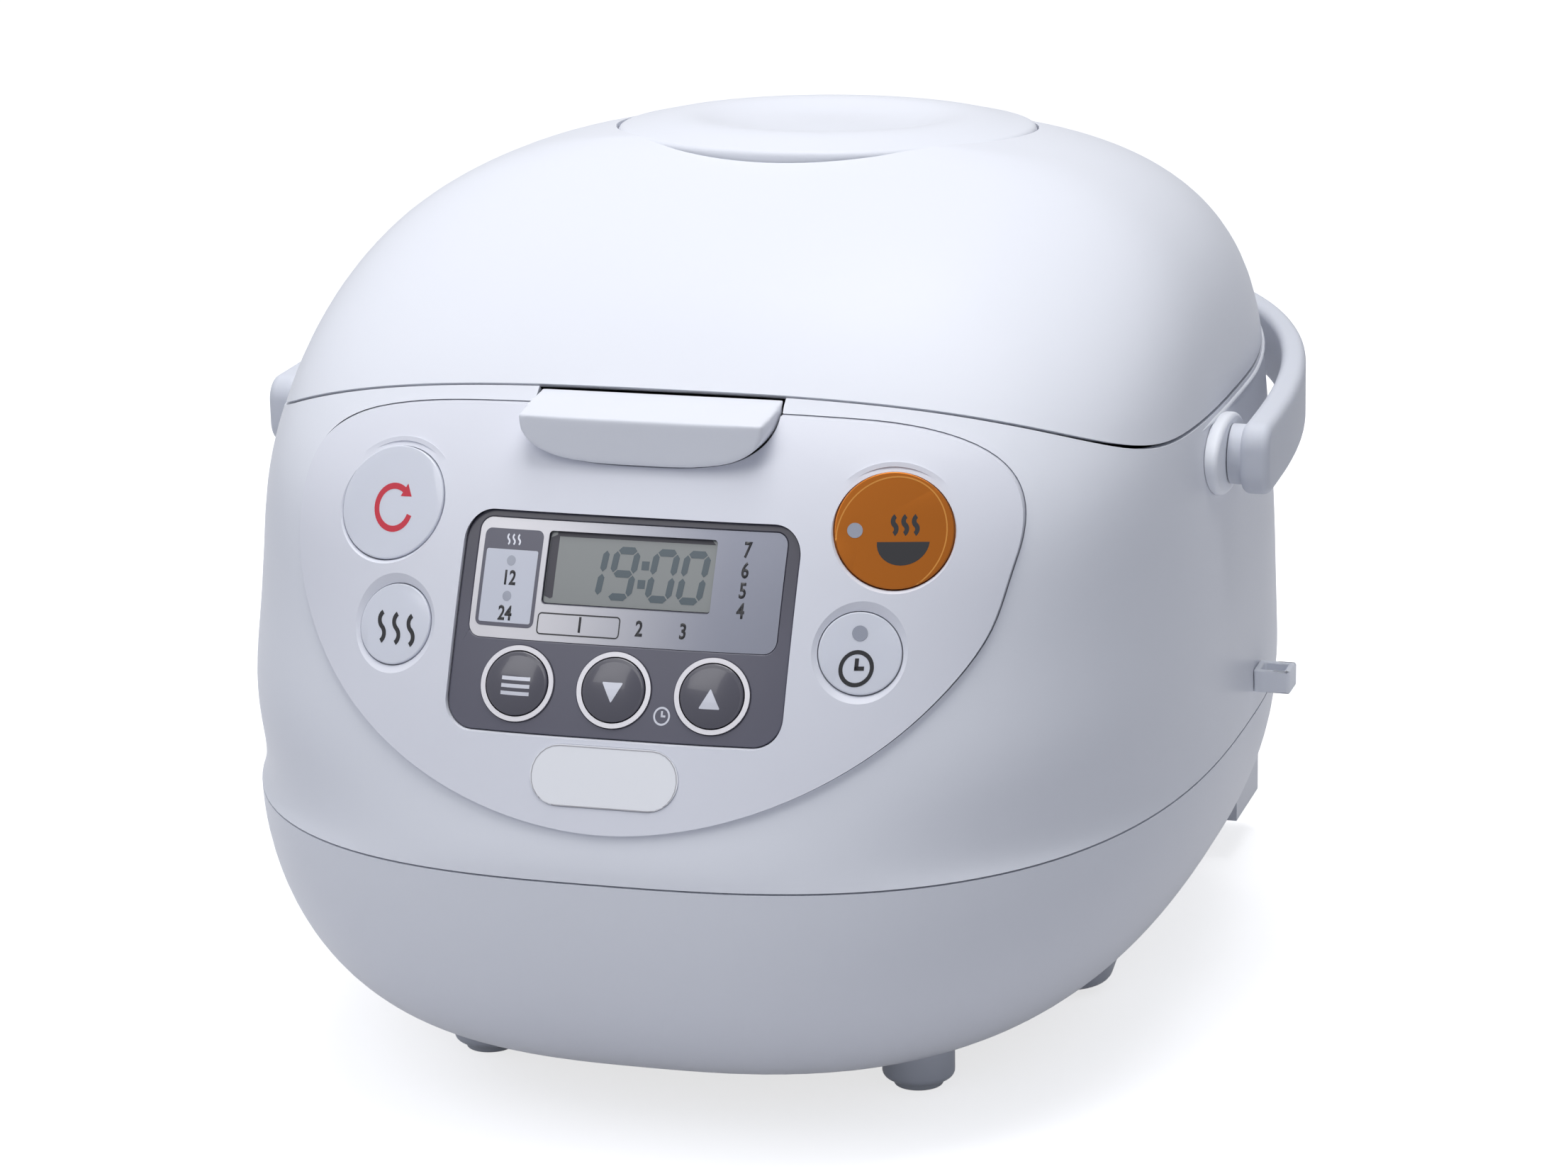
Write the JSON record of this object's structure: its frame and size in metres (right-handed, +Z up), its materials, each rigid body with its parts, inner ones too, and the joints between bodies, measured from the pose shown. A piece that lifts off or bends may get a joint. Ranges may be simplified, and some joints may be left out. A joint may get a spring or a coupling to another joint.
{
  "type": "rice cooker",
  "caption": "Countertop rice cooker with a hinged lid, inner pan, folding carry handle, steam cap, lid clamp and a sloping front panel with a display and push buttons.",
  "frame": {"origin": "middle of the footprint of the bounding box, on the surface that the feet stand on", "axes": "+Z up, -Y towards the control panel, X along the lid hinge and the handle's pivots"},
  "size_m": [0.2776, 0.351, 0.2318],
  "materials": {
    "shell_white": "glossy moulded white",
    "panel_white": "glossy moulded white",
    "frosted_white": "frosted white",
    "fascia_grey": "satin dark grey",
    "label_silver": "silver film",
    "screen": "grey green display",
    "disc_copper": "metallic copper",
    "disc_pale": "pearl white",
    "key_dark": "dark grey",
    "ring_white": "white",
    "lamp": "diffusing lens",
    "plate_silver": "silver",
    "inner_grey": "grey moulded",
    "pan_coat": "dark non-stick coat",
    "housing_steel": "pressed sheet",
    "steel": "bright",
    "cast_aluminium": "cast",
    "seal_rubber": "soft grey",
    "foot_rubber": "soft dark grey",
    "board_green": "circuit board",
    "part_black": "moulded component"
  },
  "bodies": {
    "base": {"base_bowl": "shell_white", "body_shell": "shell_white", "cord_outlet": "shell_white", "control_panel": "panel_white", "left_handle_mount": "frosted_white", "right_handle_mount": "frosted_white", "spatula_holder": "frosted_white", "display_fascia": "fascia_grey", "label_plate": "label_silver", "display_window": "screen", "button_rings": "ring_white", "nameplate": "plate_silver", "top_collar": "inner_grey", "bottom_cover": "inner_grey", "sensor_guide": "inner_grey", "cord_reel": "inner_grey", "cooking_pan": "pan_coat", "pan_housing": "housing_steel", "clamp_pin": "steel", "clamp_spring": "steel", "hinge_pin": "steel", "hinge_spring": "steel", "hinge_bracket": "steel", "bottom_screws": "steel", "sensor_spring": "steel", "handle_pivots": "steel", "heater_plate": "cast_aluminium", "heat_shield": "cast_aluminium", "side_heater": "cast_aluminium", "cord_grommet": "seal_rubber", "foot_pads": "foot_rubber", "control_board": "board_green", "power_board": "board_green", "power_parts": "part_black", "tact_switches": "part_black", "display_module": "part_black", "board_standoffs": "part_black"},
    "lid": {"lid_shell": "shell_white", "lid_liner": "inner_grey", "lid_heater": "cast_aluminium", "inner_lid": "steel", "inner_lid_gasket": "seal_rubber", "strike_bar": "steel", "vent_seal": "seal_rubber", "vent_duct": "inner_grey"},
    "steam_cap": {"vent_cap": "shell_white"},
    "clamp": {"lid_clamp": "shell_white"},
    "handle": {"carry_handle": "frosted_white"},
    "sensor": {"centre_sensor": "cast_aluminium"},
    "reset": {"reset_button": "disc_pale"},
    "cooking": {"cooking_button": "disc_copper", "cooking_lamp": "lamp"},
    "keep_warm": {"keep_warm_button": "disc_pale"},
    "timer": {"timer_button": "disc_pale", "timer_lamp": "lamp"},
    "menu": {"menu_button": "key_dark"},
    "down": {"down_button": "key_dark"},
    "up": {"up_button": "key_dark"}
  },
  "joints": [
    {"name": "lid_hinge", "type": "hinge", "parent": "base", "child": "lid", "pos_m": [0, 0.13585, 0.1785], "axis": [-1, 0, 0], "range_deg": [0, 78]},
    {"name": "steam_cap_lift", "type": "slide", "parent": "lid", "child": "steam_cap", "axis": [0, 0.0454, 0.999], "range_m": [0, 0.03]},
    {"name": "clamp_press", "type": "hinge", "parent": "base", "child": "clamp", "pos_m": [0, -0.11155, 0.163], "axis": [-1, 0, 0], "range_deg": [0, 3], "stiffness_Nm_per_rad": 1, "springref_deg": -5.73},
    {"name": "handle_swing", "type": "hinge", "parent": "base", "child": "handle", "pos_m": [0, -0.02655, 0.1559], "axis": [1, 0, 0], "range_deg": [0, 96]},
    {"name": "sensor_travel", "type": "slide", "parent": "base", "child": "sensor", "axis": [0, 0, -1], "range_m": [0, 0.0015], "stiffness_N_per_m": 600, "springref_m": -0.002, "deforming": ["sensor_spring"]},
    {"name": "reset_press", "type": "slide", "parent": "base", "child": "reset", "axis": [0.2137, 0.8627, -0.4584], "range_m": [0, 0.0012], "stiffness_N_per_m": 1200, "springref_m": -0.0006},
    {"name": "cooking_press", "type": "slide", "parent": "base", "child": "cooking", "axis": [-0.2137, 0.8627, -0.4584], "range_m": [0, 0.0012], "stiffness_N_per_m": 1200, "springref_m": -0.0006},
    {"name": "keep_warm_press", "type": "slide", "parent": "base", "child": "keep_warm", "axis": [0.2192, 0.891, -0.3975], "range_m": [0, 0.0012], "stiffness_N_per_m": 1200, "springref_m": -0.0006},
    {"name": "timer_press", "type": "slide", "parent": "base", "child": "timer", "axis": [-0.2192, 0.891, -0.3975], "range_m": [0, 0.0012], "stiffness_N_per_m": 1200, "springref_m": -0.0006},
    {"name": "menu_press", "type": "slide", "parent": "base", "child": "menu", "axis": [0.0351, 0.9098, -0.4136], "range_m": [0, 0.0012], "stiffness_N_per_m": 1200, "springref_m": -0.0006},
    {"name": "down_press", "type": "slide", "parent": "base", "child": "down", "axis": [0, 0.9085, -0.4178], "range_m": [0, 0.0012], "stiffness_N_per_m": 1200, "springref_m": -0.0006},
    {"name": "up_press", "type": "slide", "parent": "base", "child": "up", "axis": [-0.0351, 0.9098, -0.4136], "range_m": [0, 0.0012], "stiffness_N_per_m": 1200, "springref_m": -0.0006}
  ]
}
